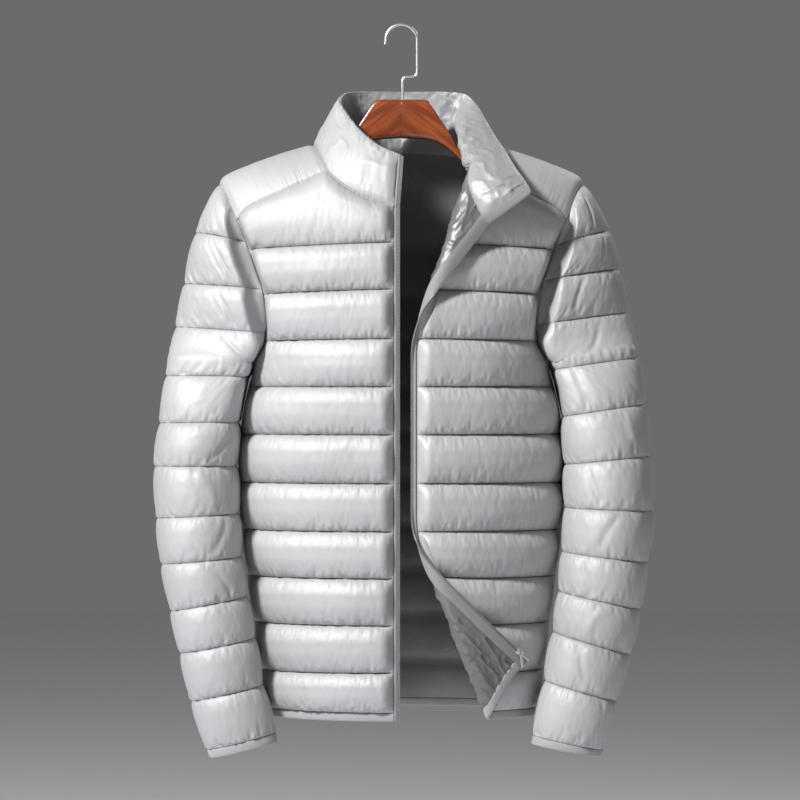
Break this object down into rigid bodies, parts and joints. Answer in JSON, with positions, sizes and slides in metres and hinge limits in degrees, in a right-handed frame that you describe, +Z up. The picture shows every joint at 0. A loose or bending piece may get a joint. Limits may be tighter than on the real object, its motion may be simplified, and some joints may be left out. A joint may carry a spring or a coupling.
{
  "type": "puffer jacket on hanger",
  "caption": "Light quilted down jacket with a stand collar, hanging half open on a wooden hanger; one front edge and its lower corner are turned out.",
  "frame": {"origin": "inside top of the hanger's hook, where it hangs on a rail", "axes": "+Z up, -Y out of the jacket's front, +X towards the wearer's left sleeve"},
  "size_m": [0.5942, 0.2488, 0.8596],
  "materials": {
    "shell": "silver grey satin nylon",
    "binding": "woven elastic",
    "zip_tape": "woven tape with teeth",
    "metal": "brushed",
    "wood": "varnished"
  },
  "bodies": {
    "root": {"front_right": "shell", "front_left": "shell", "back": "shell", "yoke_right": "shell", "yoke_left": "shell", "collar": "shell", "sleeve_upper_right": "shell", "sleeve_lower_right": "shell", "sleeve_upper_left": "shell", "sleeve_lower_left": "shell", "cuff_right": "binding", "cuff_left": "binding", "hem_right": "binding", "hem_left": "binding", "hem_back": "binding", "zip_tape_right": "zip_tape", "zip_tape_left": "zip_tape", "zip_box": "metal", "hanger_body": "wood", "hanger_hook": "metal"}
  },
  "joints": []
}
